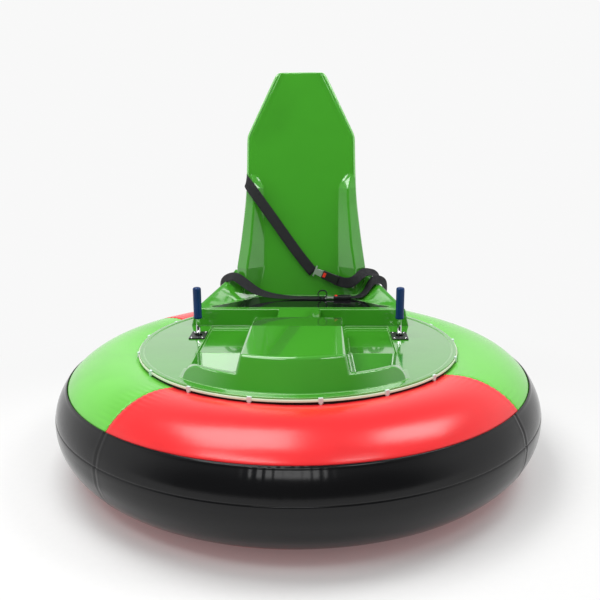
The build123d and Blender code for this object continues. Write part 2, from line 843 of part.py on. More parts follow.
# Casters, front and rear: fixed plate with kingpin, fork with axle, wheel
caster_y = pan_radius - caster_margin
for end, name in ((-1, "front"), (1, "rear")):
    pin_y = end * caster_y
    race_foot = pan_height - caster_plate_thickness - race_height
    fork_top = race_foot - race_gap
    fork_under = fork_top - fork_top_thickness
    with BuildPart() as caster_plate:
        with BuildSketch(Plane.XY.offset(pan_height - caster_plate_thickness)):
            with Locations((0, pin_y)):
                Rectangle(caster_plate_size, caster_plate_size)
        extrude(amount=caster_plate_thickness)
        with BuildSketch(Plane.XY.offset(race_foot)):
            with Locations((0, pin_y)):
                Circle(race_radius)
        extrude(amount=race_height)
        with BuildSketch(Plane.XY.offset(fork_under - race_gap)):
            with Locations((0, pin_y)):
                Circle(kingpin_radius)
        extrude(amount=race_foot - fork_under + race_gap)
        with BuildSketch(Plane.XY.offset(fork_under - race_gap)):
            with Locations((0, pin_y)):
                Circle(2 * kingpin_radius)
        extrude(amount=-kingpin_radius)
    export(caster_plate.part, f"caster_plate_{name}")

    axle_y = pin_y + caster_trail
    with BuildPart() as fork:
        with BuildSketch(Plane.XY.offset(fork_under)):
            with Locations((0, pin_y)):
                Circle(fork_top_radius)
            with Locations((0, pin_y)):
                Circle(kingpin_radius + running_gap, mode=Mode.SUBTRACT)
        extrude(amount=fork_top_thickness)
        for side in (-1, 1):
            with BuildSketch(Plane.YZ.offset(side * fork_inside_half)):
                with BuildLine():
                    Polyline(
                        (pin_y - leg_end_radius, fork_under + fork_top_thickness),
                        (axle_y - leg_end_radius, caster_radius - leg_end_radius),
                        (axle_y + leg_end_radius, caster_radius - leg_end_radius),
                        (pin_y + leg_end_radius, fork_under + fork_top_thickness),
                        close=True,
                    )
                make_face()
            extrude(amount=side * fork_wall)
        with Locations(Plane(origin=(0, axle_y, caster_radius), x_dir=(0, 1, 0), z_dir=(1, 0, 0))):
            Cylinder(caster_axle_radius, 2 * (fork_inside_half + fork_wall))
    export(fork.part, f"caster_fork_{name}")

    with BuildPart() as caster_wheel:
        with BuildSketch(Plane(origin=(0, axle_y, caster_radius), x_dir=(1, 0, 0), z_dir=(0, 0, 1))):
            bore = caster_axle_radius + running_gap
            boss_half = fork_inside_half - race_gap
            add(wheel_profile(caster_width / 2, caster_radius, bore, caster_width / 6))
            add(wheel_profile(boss_half, caster_boss_radius, bore, caster_boss_chamfer))
        revolve(axis=Axis((0, axle_y, caster_radius), (1, 0, 0)))
    export(caster_wheel.part, f"caster_wheel_{name}")


def strap(points, normal, width, thickness):
    """Flat strap along points, each run a thin slab whose face is square to the normal."""
    lap = thickness if len(points) > 2 else 0
    with BuildPart() as band:
        for start, end in zip(points, points[1:]):
            run = Vector(*end) - Vector(*start)
            along = run.normalized()
            face = Vector(*normal)
            face = (face - along * face.dot(along)).normalized()
            middle = (Vector(*start) + Vector(*end)) * 0.5
            with Locations(Plane(origin=middle, x_dir=along, z_dir=face)):
                Box(run.length + lap, width, thickness)
    return band.part


def from_rear_rim(points):
    """Places given as x, distance in front of the deck's rear rim, and height over the deck."""
    return [(x, deck_radius - ahead, deck_height + rise) for x, ahead, rise in points]


# Rider's belt: shoulder strap across the back, its buckle, and two lap straps over the walls
forward = (0, -1, 0)
export(strap(from_rear_rim(shoulder_points), forward, strap_width, strap_thickness), "belt_shoulder")
export(strap(from_rear_rim(shoulder_end_points), forward, strap_width, strap_thickness), "belt_shoulder_end")

lap_y = riser_y + lap_setback
# Lap strap's height over the crest where its rear edge crosses it, between two of the base's sections
front_section, rear_section = base_sections[1:3]
part_way = (lap_setback + strap_width / 2 - front_section[0]) / (rear_section[0] - front_section[0])
lap_crest_rise = front_section[3] + part_way * (rear_section[3] - front_section[3])
lap_top = deck_height + lap_crest_rise + strap_thickness / 2 + strap_seat_gap
lap_low = lid_height + strap_thickness / 2 + strap_seat_gap
lap_crest = base_section(*front_section)[1]
lap_buckle_z = lid_height + buckle_thickness / 2 + strap_seat_gap
lap_tongue_z = lid_height + tongue_rise
lap_buckle_x = lap_crest - lap_buckle_inside
lap_buckle_start = lap_buckle_x - lap_buckle_length
lap_tongue_x = lap_buckle_start - strap_seat_gap
lap_tongue_start = lap_tongue_x - lap_tongue_length
over_wall = (
    (lap_crest + lap_outside, deck_height + lap_end_rise),
    (lap_crest + lap_bend, lap_top),
    (lap_crest - lap_inside, lap_top),
)
left_end = ((lap_crest - lap_foot_inside, lap_low), (strap_seat_gap - lap_tongue_start, lap_low))
right_end = ((lap_buckle_x + lap_end_gap, lap_buckle_z - strap_thickness / 2),)
for side, name, end in ((-1, "left", left_end), (1, "right", right_end)):
    with BuildPart() as lap:
        with BuildSketch(Plane.XZ.offset(-lap_y - strap_width / 2)):
            with BuildLine():
                path = Polyline(*[(side * x, z) for x, z in over_wall + end])
                half = strap_thickness / 2
                offset(path, amount=half, kind=Kind.INTERSECTION, side=Side.BOTH, mode=Mode.REPLACE)
            make_face()
        extrude(amount=strap_width)
    export(lap.part, f"belt_lap_{name}")

upward = (0, 0, 1)
lap_buckle = ((lap_buckle_start, lap_y, lap_buckle_z), (lap_buckle_x, lap_y, lap_buckle_z))
lap_tongue = ((lap_tongue_start, lap_y, lap_tongue_z), (lap_tongue_x, lap_y, lap_tongue_z))
with BuildPart() as belt_buckles:
    add(strap(from_rear_rim(shoulder_buckle), forward, buckle_width, buckle_thickness))
    add(strap(lap_buckle, upward, buckle_width, buckle_thickness))
export(belt_buckles.part, "belt_buckles")
with BuildPart() as belt_tongues:
    add(strap(from_rear_rim(shoulder_tongue), forward, tongue_width, tongue_thickness))
    add(strap(lap_tongue, upward, tongue_width, tongue_thickness))
export(belt_tongues.part, "belt_tongues")
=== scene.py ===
# %% [markdown]
# # A round bumper car with an air-filled ring
#
# The car is for one rider. A glass-fibre deck and seat stand on a small steel frame with
# two driven wheels and two casters, and a ring of coated cloth, blown up hard, goes round
# them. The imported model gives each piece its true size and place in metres, with +Z up and
# the front towards -Y. This script gives the pieces their finishes, and models again the
# ring, the belt, the light strip and the grips, whose shapes are soft or finely rounded.
# Each step makes one thing and prints what it made.

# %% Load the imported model
from math import cos, pi, radians, sin, tau

import bmesh
import bpy
import numpy as np
from mathutils import Matrix, Vector


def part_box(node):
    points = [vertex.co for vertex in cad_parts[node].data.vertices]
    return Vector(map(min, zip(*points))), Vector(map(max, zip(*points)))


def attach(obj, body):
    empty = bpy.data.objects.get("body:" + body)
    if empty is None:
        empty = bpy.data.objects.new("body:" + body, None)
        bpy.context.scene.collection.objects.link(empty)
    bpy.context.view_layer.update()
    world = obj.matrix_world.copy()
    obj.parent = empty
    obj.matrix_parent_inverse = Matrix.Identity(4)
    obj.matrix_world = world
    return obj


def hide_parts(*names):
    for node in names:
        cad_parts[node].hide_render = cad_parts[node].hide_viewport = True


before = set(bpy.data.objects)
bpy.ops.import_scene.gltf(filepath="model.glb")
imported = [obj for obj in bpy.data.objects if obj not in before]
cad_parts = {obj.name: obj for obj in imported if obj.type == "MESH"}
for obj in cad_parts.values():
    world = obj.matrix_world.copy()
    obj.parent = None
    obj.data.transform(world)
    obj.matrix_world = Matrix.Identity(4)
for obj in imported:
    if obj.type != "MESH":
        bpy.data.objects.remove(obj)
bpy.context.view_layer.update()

# %% [markdown]
# ## Camera
#
# The picture was taken from just above the car's height, looking a little down. A camera is
# easiest to keep true when it is written as a photographer would say it: how far away it
# stands, how high it looks from, and which point it looks at. The focal length is known in
# pixels of the picture, and Blender wants it in millimetres of its sensor, so it is scaled
# by the sensor's width over the picture's.

# %% Camera
photo_size = 600
focal_pixels = 723.9
picture_centre_x = 297.5
look_at = Vector((0, 0, 0.6297))
camera_distance = 2.896
camera_elevation = radians(13.63)
camera_heading = radians(2.0)
camera_roll = radians(-0.41)

camera_data = bpy.data.cameras.new("camera")
camera_data.lens = camera_data.sensor_width * focal_pixels / photo_size
camera_data.shift_x = 0.5 - picture_centre_x / photo_size
camera = bpy.data.objects.new("camera", camera_data)
bpy.context.scene.collection.objects.link(camera)
bpy.context.scene.camera = camera
away = Vector((
    sin(camera_heading) * cos(camera_elevation),
    -cos(camera_heading) * cos(camera_elevation),
    sin(camera_elevation),
))
aim = (-away).to_track_quat("-Z", "Y").to_matrix() @ Matrix.Rotation(camera_roll, 3, "Z")
camera.matrix_world = Matrix.LocRotScale(look_at + camera_distance * away, aim, None)
print("camera at", [round(value, 3) for value in camera.matrix_world.translation])

# %% [markdown]
# ## Writing shaders as sums
#
# A finish is a tree of nodes, and long trees are hard to read. Two small classes help. A
# `Signal` wraps one socket, and Python's own operators add the Math nodes, so that
# `0.1 + 0.05 * grain` reads as the sum that it is. A `Finish` is one material, with one method
# that adds any other node: its settings first, then the values or links of its sockets.

# %% Signal and Finish
class Signal:
    """One output of a node, on which arithmetic adds Math nodes."""

    def __init__(self, finish, socket):
        self.finish = finish
        self.socket = socket

    def reckon(self, operation, first, second=0.0):
        return self.finish.node("ShaderNodeMath", {"operation": operation}, {0: first, 1: second})

    def __add__(self, other):
        return self.reckon("ADD", self, other)

    def __radd__(self, other):
        return self.reckon("ADD", other, self)

    def __sub__(self, other):
        return self.reckon("SUBTRACT", self, other)

    def __rsub__(self, other):
        return self.reckon("SUBTRACT", other, self)

    def __mul__(self, other):
        return self.reckon("MULTIPLY", self, other)

    def __rmul__(self, other):
        return self.reckon("MULTIPLY", other, self)

    def __pow__(self, other):
        return self.reckon("POWER", self, other)

    def sine(self):
        return self.reckon("SINE", self)

    def above(self, start, end):
        """0 up to start, 1 from end, and a soft step between them."""
        settings = {"interpolation_type": "SMOOTHSTEP"}
        return self.finish.node("ShaderNodeMapRange", settings, {0: self, 1: start, 2: end})


class Finish:
    """One material. Constant values are set straight on its shader."""

    def __init__(self, name, colour, roughness, **constants):
        self.material = bpy.data.materials.new(name)
        self.material.use_nodes = True
        self.tree = self.material.node_tree
        self.shader = self.tree.nodes["Principled BSDF"]
        self.colour = (*colour, 1.0)
        self.set("Base Color", self.colour)
        self.set("Roughness", roughness)
        for name, value in constants.items():
            self.set(name.replace("_", " "), value)
        self.place = self.node("ShaderNodeTexCoord", {}, {}, "Object")

    def put(self, socket, value):
        """Links a signal to a socket, or sets a plain value there."""
        if isinstance(value, Signal):
            self.tree.links.new(value.socket, socket)
        else:
            socket.default_value = value

    def set(self, name, value):
        self.put(self.shader.inputs[name], value)

    def node(self, kind, settings, inputs, output=0):
        """A new node: settings first, then its sockets. Gives one of its outputs."""
        node = self.tree.nodes.new(kind)
        for name, value in settings.items():
            setattr(node, name, value)
        for key, value in inputs.items():
            self.put(node.inputs[key], value)
        return Signal(self, node.outputs[output])

    def split(self, vector):
        """The three numbers of a vector."""
        first = self.node("ShaderNodeSeparateXYZ", {}, {0: vector})
        return [Signal(self, socket) for socket in first.socket.node.outputs]

    def stretched(self, x, y, z):
        """The place on the object, scaled along each axis."""
        return self.node("ShaderNodeVectorMath", {"operation": "MULTIPLY"}, {0: self.place, 1: (x, y, z)})

    def noise(self, scale, detail, place=None):
        inputs = {"Vector": place or self.place, "Scale": scale, "Detail": detail}
        return self.node("ShaderNodeTexNoise", {}, inputs)

    def mix(self, amount, first, second):
        """A colour between two."""
        return self.node("ShaderNodeMix", {"data_type": "RGBA"}, {0: amount, 6: first, 7: second}, 2)

    def shade(self, amount, factor):
        """The finish's own colour, darkened or lightened where amount is high."""
        tone = tuple(min(1.0, part * factor) for part in self.colour[:3])
        return self.mix(amount, self.colour, (*tone, 1.0))

    def bump(self, height, distance, under=None):
        """A normal from a height, over another normal where one is given."""
        inputs = {"Height": height, "Distance": distance}
        if under:
            inputs["Normal"] = under
        return self.node("ShaderNodeBump", {}, inputs)


# %% [markdown]
# ## Gelcoat
#
# The deck and seat are glass fibre with a polished gelcoat, sprayed into the mould before
# the fibres. Gelcoat is a thick glossy plastic: one deep colour, a sharp reflection, a very
# faint ripple from the mould, and hair-fine scuffs where shoes and trousers rub. The ripple
# is a bump far wider than it is high, and the scuffs only change the roughness. Along its
# edges the colour is painted paler: a painted highlight for the light that rounded edges
# catch. The Bevel node finds the edges: it gives a normal that is rounded near them, and the
# further that normal leans from the true one, the nearer the edge is.

# %% Gelcoat
edge_width = 0.009
ripple_height = 0.0007
peel_height = 0.00006


def gelcoat(name, colour, edge_highlight_colour):
    finish = Finish(name, colour, 0.12, IOR=1.5, Coat_Weight=1.0, Coat_Roughness=0.05)
    cloudy = finish.noise(2.2, 3.0)
    rounded = finish.node("ShaderNodeBevel", {"samples": 8}, {"Radius": edge_width})
    true_normal = finish.node("ShaderNodeNewGeometry", {}, {}, 1)
    normals = {0: rounded, 1: true_normal}
    same = finish.node("ShaderNodeVectorMath", {"operation": "DOT_PRODUCT"}, normals, 1)
    # Painted highlight: near the edges the base colour is mixed towards a pale green.
    edge = (1 - same).above(0.01, 0.16)
    body = finish.shade(cloudy.above(0.42, 0.72), 0.86)
    finish.set("Base Color", finish.mix(0.75 * edge, body, (*edge_highlight_colour, 1.0)))
    scuffs = finish.noise(34, 6.0, finish.stretched(1.0, 7.0, 1.0)).above(0.55, 0.75)
    finish.set("Roughness", 0.1 + 0.06 * scuffs + 0.04 * cloudy)
    ripple = finish.bump(finish.noise(11, 1.0), ripple_height, under=rounded)
    finish.set("Normal", finish.bump(finish.noise(260, 2.0), peel_height, under=ripple))
    return finish


# The pale green of the painted highlight along the edges.
edge_highlight_green = (0.36, 0.72, 0.28)
green_gelcoat = gelcoat("green_gelcoat", (0.050, 0.300, 0.019), edge_highlight_green)
print("gelcoat:", green_gelcoat.material.name, "with", len(green_gelcoat.tree.nodes), "nodes")

# %% [markdown]
# ## Coated cloth
#
# The ring is cut from polyester cloth with a thick vinyl coat on both sides. Blown up, it is
# smooth and shiny, yet the weave prints through the coat as fine lines, and light breaks
# softly on them. The lines run round the ring and are the sum of two sine waves: one over the
# distance from the ring's axis, for where the cloth lies flat, and one over the height, for
# where it stands upright. Both come from the place on the object, and need no unwrapping.

# %% Coated cloth
weave_pitch = 0.0016
weave_height = 0.000004
slack_height = 0.0008


def coated_cloth(name, colour, roughness, **constants):
    finish = Finish(name, colour, roughness, IOR=1.5, **constants)
    broad = finish.noise(3.1, 3.0)
    finish.set("Base Color", finish.shade(broad.above(0.4, 0.75), 0.88))
    finish.set("Roughness", roughness + 0.06 * broad)
    x, y, z = finish.split(finish.place)
    radius = (x * x + y * y) ** 0.5
    threads = (radius * (tau / weave_pitch)).sine() + (z * (tau / weave_pitch)).sine()
    slack = finish.bump(finish.noise(7, 2.0), slack_height)
    finish.set("Normal", finish.bump(threads, weave_height, under=slack))
    return finish


green_cloth = coated_cloth("green_cloth", (0.135, 0.55, 0.055), 0.16)
red_cloth = coated_cloth("red_cloth", (0.80, 0.022, 0.026), 0.2)
base_cloth = coated_cloth("base_cloth", (0.52, 0.016, 0.018), 0.3)
black_cloth = coated_cloth("black_cloth", (0.006, 0.006, 0.0065), 0.13, Specular_IOR_Level=0.27)
print("cloth:", [finish.material.name for finish in (green_cloth, red_cloth, base_cloth, black_cloth)])

# %% [markdown]
# ## Rubber, plastics and metals
#
# The small pieces need plain finishes, each a little uneven, as real ones are: a grain in
# moulded plastic, a cloudy zinc coat, a mottled skin on powder coat, and dusty patches on
# rubber. One function makes them all, from fine specks that stand up and change the gloss,
# and wide patches of another shade.

# %% Small finishes
def grained(name, colour, roughness, grain, depth, uneven, darker=0.8, **constants):
    finish = Finish(name, colour, roughness, **constants)
    speck = finish.noise(1 / grain, 4.0)
    wide = finish.noise(9, 3.0)
    finish.set("Base Color", finish.shade(wide.above(0.4, 0.7), darker))
    finish.set("Roughness", roughness - uneven / 2 + uneven * speck)
    finish.set("Normal", finish.bump(speck, depth))
    return finish


# Each has: colour, roughness, size and depth of the grain, change of gloss, shade of the patches
black_lid = grained("black_lid", (0.006, 0.006, 0.007), 0.1, 0.004, 0.00003, 0.06, IOR=1.5)
black_plastic = grained("black_plastic", (0.012, 0.012, 0.013), 0.34, 0.0006, 0.00005, 0.14)
# Black for the rim seal: painted shade for the gap under the deck's rim.
foam_rubber = grained("foam_rubber", (0.010, 0.010, 0.010), 0.8, 0.0015, 0.0003, 0.1)
milky_sleeve = grained("milky_sleeve", (0.42, 0.50, 0.36), 0.3, 0.003, 0.0001, 0.1, 0.9)
milky_sleeve.set("Emission Color", (0.80, 0.86, 0.66, 1.0))
milky_sleeve.set("Emission Strength", 0.32)
white_plastic = grained("white_plastic", (0.66, 0.80, 0.76), 0.32, 0.001, 0.00004, 0.1, 0.92)
red_button = grained("red_button", (0.75, 0.03, 0.015), 0.3, 0.0008, 0.00003, 0.1, 0.9)
plate_black = grained("plate_black", (0.012, 0.012, 0.014), 0.36, 0.0012, 0.00006, 0.14, 1.4)
blue_sleeve = grained(
    "blue_sleeve", (0.001, 0.030, 0.13), 0.34, 0.0009, 0.00008, 0.12, Specular_IOR_Level=0.3
)
grey_paint = grained("grey_paint", (0.085, 0.085, 0.09), 0.42, 0.0012, 0.00008, 0.16)
motor_paint = grained("motor_paint", (0.03, 0.03, 0.034), 0.4, 0.0012, 0.00008, 0.14)
battery_case = grained("battery_case", (0.045, 0.045, 0.05), 0.5, 0.0008, 0.00012, 0.1)
tread_rubber = grained("tread_rubber", (0.024, 0.024, 0.024), 0.72, 0.0011, 0.0003, 0.16, 1.7)
cast_alloy = grained("cast_alloy", (0.55, 0.55, 0.56), 0.36, 0.0016, 0.00012, 0.14, Metallic=1.0)
zinc_plate = grained("zinc_plate", (0.56, 0.57, 0.58), 0.3, 0.0022, 0.00004, 0.2, Metallic=1.0)
bright_steel = grained("bright_steel", (0.66, 0.66, 0.67), 0.2, 0.0012, 0.00002, 0.12, Metallic=1.0)
satin_steel = grained("satin_steel", (0.78, 0.78, 0.79), 0.42, 0.003, 0.00001, 0.1, Metallic=1.0)
polished_rod = grained("polished_rod", (0.72, 0.72, 0.73), 0.12, 0.0012, 0.00001, 0.08, Metallic=1.0)
print(len(bpy.data.materials), "finishes so far")

# %% [markdown]
# ## Belt webbing
#
# Belt webbing is woven in fine ribs that run across it in a slant. A wave that leans along
# the strap gives the ribs, and each strap is laid out in its own flat space first, so the
# wave needs to know only how far along and how far across a point is. Those two numbers
# are kept with the mesh as a UV map.

# %% Belt webbing
rib_pitch = 0.0022
rib_height = 0.0002


def webbing(name, colour):
    finish = Finish(name, colour, 0.55, Specular_IOR_Level=0.35)
    along, across, _ = finish.split(finish.node("ShaderNodeUVMap", {}, {}))
    ribs = ((along + 0.6 * across) * (tau / rib_pitch)).sine()
    yarns = (across * (tau / rib_pitch)).sine()
    finish.set("Base Color", finish.shade(0.5 + 0.25 * ribs + 0.25 * yarns, 2.2))
    finish.set("Roughness", 0.62 - 0.12 * ribs)
    finish.set("Normal", finish.bump(ribs + 0.5 * yarns, rib_height))
    return finish


black_webbing = webbing("black_webbing", (0.0055, 0.0055, 0.007))
print("webbing ribs every", rib_pitch * 1000, "mm")

# %% [markdown]
# ## Finishes for what is right already
#
# Deck, seat, levers, frame, wheels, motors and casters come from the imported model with
# their true shape. They only need a finish in place of the plain one, so each name gets its
# own from a table.

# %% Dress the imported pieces
dressed = {
    "chassis_frame": grey_paint,
    "floor_pan": zinc_plate,
    # The rim seal's black is painted shade for the gap under the deck's rim.
    "rim_seal": foam_rubber,
    "controller_box": cast_alloy,
    "lever_plates": plate_black,
    "air_valve": black_plastic,
    "seat_lid": black_lid,
    "strip_clips": white_plastic,
    "deck_shell": green_gelcoat,
    "seat_base": green_gelcoat,
    "seat_back": green_gelcoat,
}
for side in ("left", "right"):
    dressed[f"battery_{side}"] = battery_case
    dressed[f"drive_motor_{side}"] = motor_paint
    dressed[f"motor_bracket_{side}"] = grey_paint
    dressed[f"wheel_hub_{side}"] = cast_alloy
    dressed[f"tyre_{side}"] = tread_rubber
    dressed[f"lever_housing_{side}"] = black_plastic
    dressed[f"lever_{side}"] = polished_rod
for end in ("front", "rear"):
    dressed[f"caster_plate_{end}"] = zinc_plate
    dressed[f"caster_fork_{end}"] = zinc_plate
    dressed[f"caster_wheel_{end}"] = tread_rubber
for name, finish in dressed.items():
    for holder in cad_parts[name].material_slots:
        holder.material = finish.material
print(len(dressed), "packed pieces dressed")

# %% [markdown]
# ## Making a piece
#
# Every new piece is a mesh at the origin with its points in the car's own frame. It gets a
# finish, rides on a body of the car, and hides the imported solid that it stands for.

# %% Piece helper
def add_piece(name, mesh, finish, body="chassis", stands_for=()):
    """A new piece with its finish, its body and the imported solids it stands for."""
    piece = bpy.data.objects.new(name, mesh)
    bpy.context.scene.collection.objects.link(piece)
    mesh.materials.clear()
    mesh.materials.append(finish.material)
    mesh.shade_smooth()
    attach(piece, body)
    if stands_for:
        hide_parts(*stands_for)
    return piece


def grid_mesh(name, points, close_columns=False):
    """A mesh of four-sided faces through a table of points, rows by columns."""
    rows, columns = points.shape[:2]
    mesh = bpy.data.meshes.new(name)
    across = np.arange(columns if close_columns else columns - 1)
    row, column = np.meshgrid(np.arange(rows - 1), across, indexing="ij")
    next_row, next_column = row + 1, (column + 1) % columns
    corners = [row * columns + column, row * columns + next_column]
    corners += [next_row * columns + next_column, next_row * columns + column]
    faces = np.stack(corners, axis=-1).reshape(-1, 4)
    mesh.from_pydata(points.reshape(-1, 3).tolist(), [], faces.tolist())
    return mesh


def count(piece):
    """How many triangles a piece shows."""
    shown = piece.evaluated_get(bpy.context.evaluated_depsgraph_get()).data
    return sum(len(face.vertices) - 2 for face in shown.polygons)


# %% [markdown]
# ## Ring
#
# A blown-up ring is close to a torus with an oval section. What makes it look like welded
# cloth is small: the panels lap at their seams, the lap stands a little proud, a fine
# groove runs along the weld, and the cloth puckers where a flat sheet was forced round a
# curve. All of that is a lift along the surface's normal, worked out from two angles: how
# far round the oval a point is, and how far round the car.

# %% Shape of the ring
_, band_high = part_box("ring_side_band")
base_low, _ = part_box("ring_base")
_, top_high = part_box("ring_top_green")
ring_section_width = 0.5
half_width = ring_section_width / 2
half_height = (top_high.z - base_low.z) / 2
ring_radius = band_high.x - half_width
ring_middle = base_low.z + half_height
cloth_thickness = 0.0015


def ring_points(oval, azimuth, lift):
    """Points of the ring from the oval's angle, the azimuth from the front, and the lift."""
    out, up = np.cos(oval) / half_width, np.sin(oval) / half_height
    length = np.hypot(out, up)
    radius = ring_radius + half_width * np.cos(oval) + lift * out / length
    height = ring_middle + half_height * np.sin(oval) + lift * up / length
    return np.stack([radius * np.sin(azimuth), -radius * np.cos(azimuth), height], axis=-1)


def ridge(distance, width):
    """1 on a line, falling softly to 0 over a width on each side."""
    return np.exp(-((distance / width) ** 2))


def step(distance, width):
    """0 before a line and 1 after it, with a soft edge."""
    return 1 / (1 + np.exp(-np.clip(distance / width, -30, 30)))


print("ring: radius", round(ring_radius, 3), "half height", round(half_height, 4))

# %% [markdown]
# ## Panels of the ring
#
# Four coloured panels make the top and one black band goes round the side. Each panel is a
# sheet on the torus, dense enough for its puckers. The coloured panels meet at four seams,
# and the red one laps over the green. The puckers are strongest near the deck, where the
# cloth has the tightest curve, and die away towards the outside.

# %% Ring panels
top_seam = radians(36.3)
low_seam = radians(-47)
mid_seam = radians(7.0)
lap_width = 0.017
lap_height = 0.0007
lap_softness = 0.0012
groove_depth = 0.0016
groove_width = 0.004
pucker_height = 0.0013
sway_height = 0.0011
panel_rows = 110
panel_pitch = 0.0065
# Top panels: azimuth of one edge, sweep, colour
top_panels = (
    (-41.5, 100.0, "red"),
    (58.5, 83.5, "green"),
    (142.0, 92.5, "red"),
    (234.5, 84.0, "green"),
)
band_seams = (-41.0, 55.6, 140.0, 235.0)


def puckers(oval, azimuth):
    """Folds that radiate from the deck, uneven round the ring."""
    wave = 0.5 * np.sin(41 * azimuth + 1.3 * np.sin(5 * azimuth))
    wave += 0.32 * np.sin(67 * azimuth + 2.1 + 1.7 * np.sin(3 * azimuth))
    patches = 0.45 + 0.55 * np.sin(4 * azimuth + 0.8) ** 2
    return wave * patches * step(oval - radians(112), radians(7))


def top_lift(oval, azimuth, edges, laps):
    """How far a coloured panel stands off the smooth oval, in metres."""
    lift = pucker_height * puckers(oval, azimuth)
    lift += sway_height * np.sin(7 * azimuth + 2.0 * oval) * np.sin(oval)
    for edge in edges:
        distance = (azimuth - edge) * ring_radius
        lift -= groove_depth * ridge(distance, groove_width)
        inside = np.abs(distance)
        if laps:
            lift += lap_height * (1 - step(inside - lap_width, lap_softness))
            lift -= 0.0008 * ridge(inside - lap_width, 0.0018)
        lift += 0.0007 * ridge(inside, 0.06) * np.sin(70 * oval + 9 * inside)
    lift -= 0.0015 * ridge((oval - top_seam) * half_width, 0.005)
    return lift


ring_meshes = {"red": [], "green": []}
for start, sweep, colour in top_panels:
    edges = (radians(start), radians(start + sweep))
    columns = int(radians(sweep) * ring_radius / panel_pitch)
    rows = np.linspace(top_seam, pi, panel_rows)
    oval, azimuth = np.meshgrid(rows, np.linspace(*edges, columns), indexing="ij")
    lift = top_lift(oval, azimuth, edges, laps=colour == "red")
    ring_meshes[colour].append(ring_points(oval, azimuth, lift))


def joined(name, tables, **options):
    """One mesh from several tables of points."""
    whole = bmesh.new()
    for table in tables:
        part = grid_mesh("part", table, **options)
        whole.from_mesh(part)
        bpy.data.meshes.remove(part)
    mesh = bpy.data.meshes.new(name)
    whole.to_mesh(mesh)
    whole.free()
    return mesh


def give_thickness(piece, thickness):
    """Makes a sheet into a shell, thickened inward."""
    shell = piece.modifiers.new("thickness", "SOLIDIFY")
    shell.thickness = thickness
    shell.offset = -1
    shell.use_even_offset = False


for colour, finish in (("red", red_cloth), ("green", green_cloth)):
    name = f"ring_top_{colour}_cloth"
    mesh = joined(name, ring_meshes[colour])
    panel = add_piece(name, mesh, finish, stands_for=[f"ring_top_{colour}"])
    mesh.flip_normals()
    give_thickness(panel, cloth_thickness)
    print(panel.name, count(panel), "triangles")

# %% [markdown]
# ## Side band and base of the ring
#
# The black band takes the knocks. It laps over the coloured panels along the top seam, so
# its edge stands proud there and catches the light. One fine seam runs round it at mid
# height, and four more cross it from top to bottom. The seams are only a few millimetres
# wide, so the sheet gets extra rows beside them. The red base closes the ring below.

# %% Side band
band_stand = 0.0012
edge_swell = 0.0012
edge_setback = 0.006
cross_depth = 0.0024
crease_height = 0.0007
band_columns = 900


def band_lift(oval, azimuth):
    """How far the band stands off the smooth oval, in metres."""
    lift = np.full_like(oval, band_stand)
    lift += edge_swell * ridge((oval - top_seam) * half_width + edge_setback, 0.0055)
    lift -= groove_depth * ridge((oval - mid_seam) * half_width, 0.003)
    lift += 0.0006 * (1 - step(np.abs((oval - mid_seam) * half_width + 0.012) - 0.011, 0.0012))
    for seam in band_seams:
        turn = np.angle(np.exp(1j * (azimuth - radians(seam))))
        distance = turn * ring_radius * 1.3
        lift -= cross_depth * ridge(distance, 0.0035)
        lift += 0.0007 * ridge(np.abs(distance) - 0.010, 0.006)
        lift += 0.0004 * ridge(distance, 0.05) * np.sin(24 * oval)
    drawn = step(oval - radians(17), radians(3)) * ridge(np.sin(azimuth + 0.02), 0.13)
    lift += crease_height * drawn * np.cos(azimuth / 2) * np.sin(210 * azimuth)
    lift -= 0.0010 * ridge((oval - low_seam) * half_width, 0.006)
    return lift


near_seam = np.radians([-1.4, -1.0, -0.6, -0.3, 0.3, 0.6, 1.0, 1.4])
even_rows = np.linspace(low_seam, top_seam + 0.002, 36)
swell_rows = top_seam - radians(2.0) + near_seam
band_rows = np.sort(np.concatenate([even_rows, mid_seam + near_seam, swell_rows]))
around = np.linspace(0, tau, band_columns, endpoint=False)
oval, azimuth = np.meshgrid(band_rows, around, indexing="ij")
band_points = ring_points(oval, azimuth, band_lift(oval, azimuth))
band_mesh = grid_mesh("ring_band", band_points, close_columns=True)
band_mesh.flip_normals()
ring_band = add_piece("ring_band", band_mesh, black_cloth, stands_for=["ring_side_band"])
give_thickness(ring_band, cloth_thickness + 0.001)
print(ring_band.name, count(ring_band), "triangles")

# %% Base
base_rows = 44
base_columns = 360
base_around = np.linspace(0, tau, base_columns, endpoint=False)
oval, azimuth = np.meshgrid(np.linspace(-pi, low_seam, base_rows), base_around, indexing="ij")
weld = 0.001 * ridge((oval - low_seam) * half_width, 0.008)
base_lift = 0.0008 * np.sin(9 * azimuth) * np.sin(oval) - weld
base_mesh = grid_mesh("ring_base_cloth", ring_points(oval, azimuth, base_lift), close_columns=True)
base_mesh.flip_normals()
ring_base = add_piece("ring_base_cloth", base_mesh, base_cloth, stands_for=["ring_base"])
give_thickness(ring_base, cloth_thickness)
print(ring_base.name, count(ring_base), "triangles")

# %% [markdown]
# ## Turned pieces
#
# Grips, lever sleeves, domed bolts on their washers and the light tube are round about an
# upright axis. A round piece is its half section turned about that axis, so one function
# takes the section as radius and height, and turns it.

# %% Turned pieces
def turned(section, centre, steps=48):
    """A table of points: the section at each step round the axis."""
    angles = np.linspace(0, tau, steps, endpoint=False)
    radius, height = np.array(section).T
    points = np.stack([
        np.outer(radius, np.cos(angles)),
        np.outer(radius, np.sin(angles)),
        np.outer(height, np.ones(steps)),
    ], axis=-1)
    return points + np.array(centre)


def capped(name, tables):
    """One mesh of turned pieces, with their open ends closed and normals outward."""
    mesh = joined(name, tables, close_columns=True)
    shape = bmesh.new()
    shape.from_mesh(mesh)
    bmesh.ops.remove_doubles(shape, verts=shape.verts, dist=0.000001)
    bmesh.ops.holes_fill(shape, edges=shape.edges)
    bmesh.ops.recalc_face_normals(shape, faces=shape.faces)
    shape.to_mesh(mesh)
    shape.free()
    return mesh


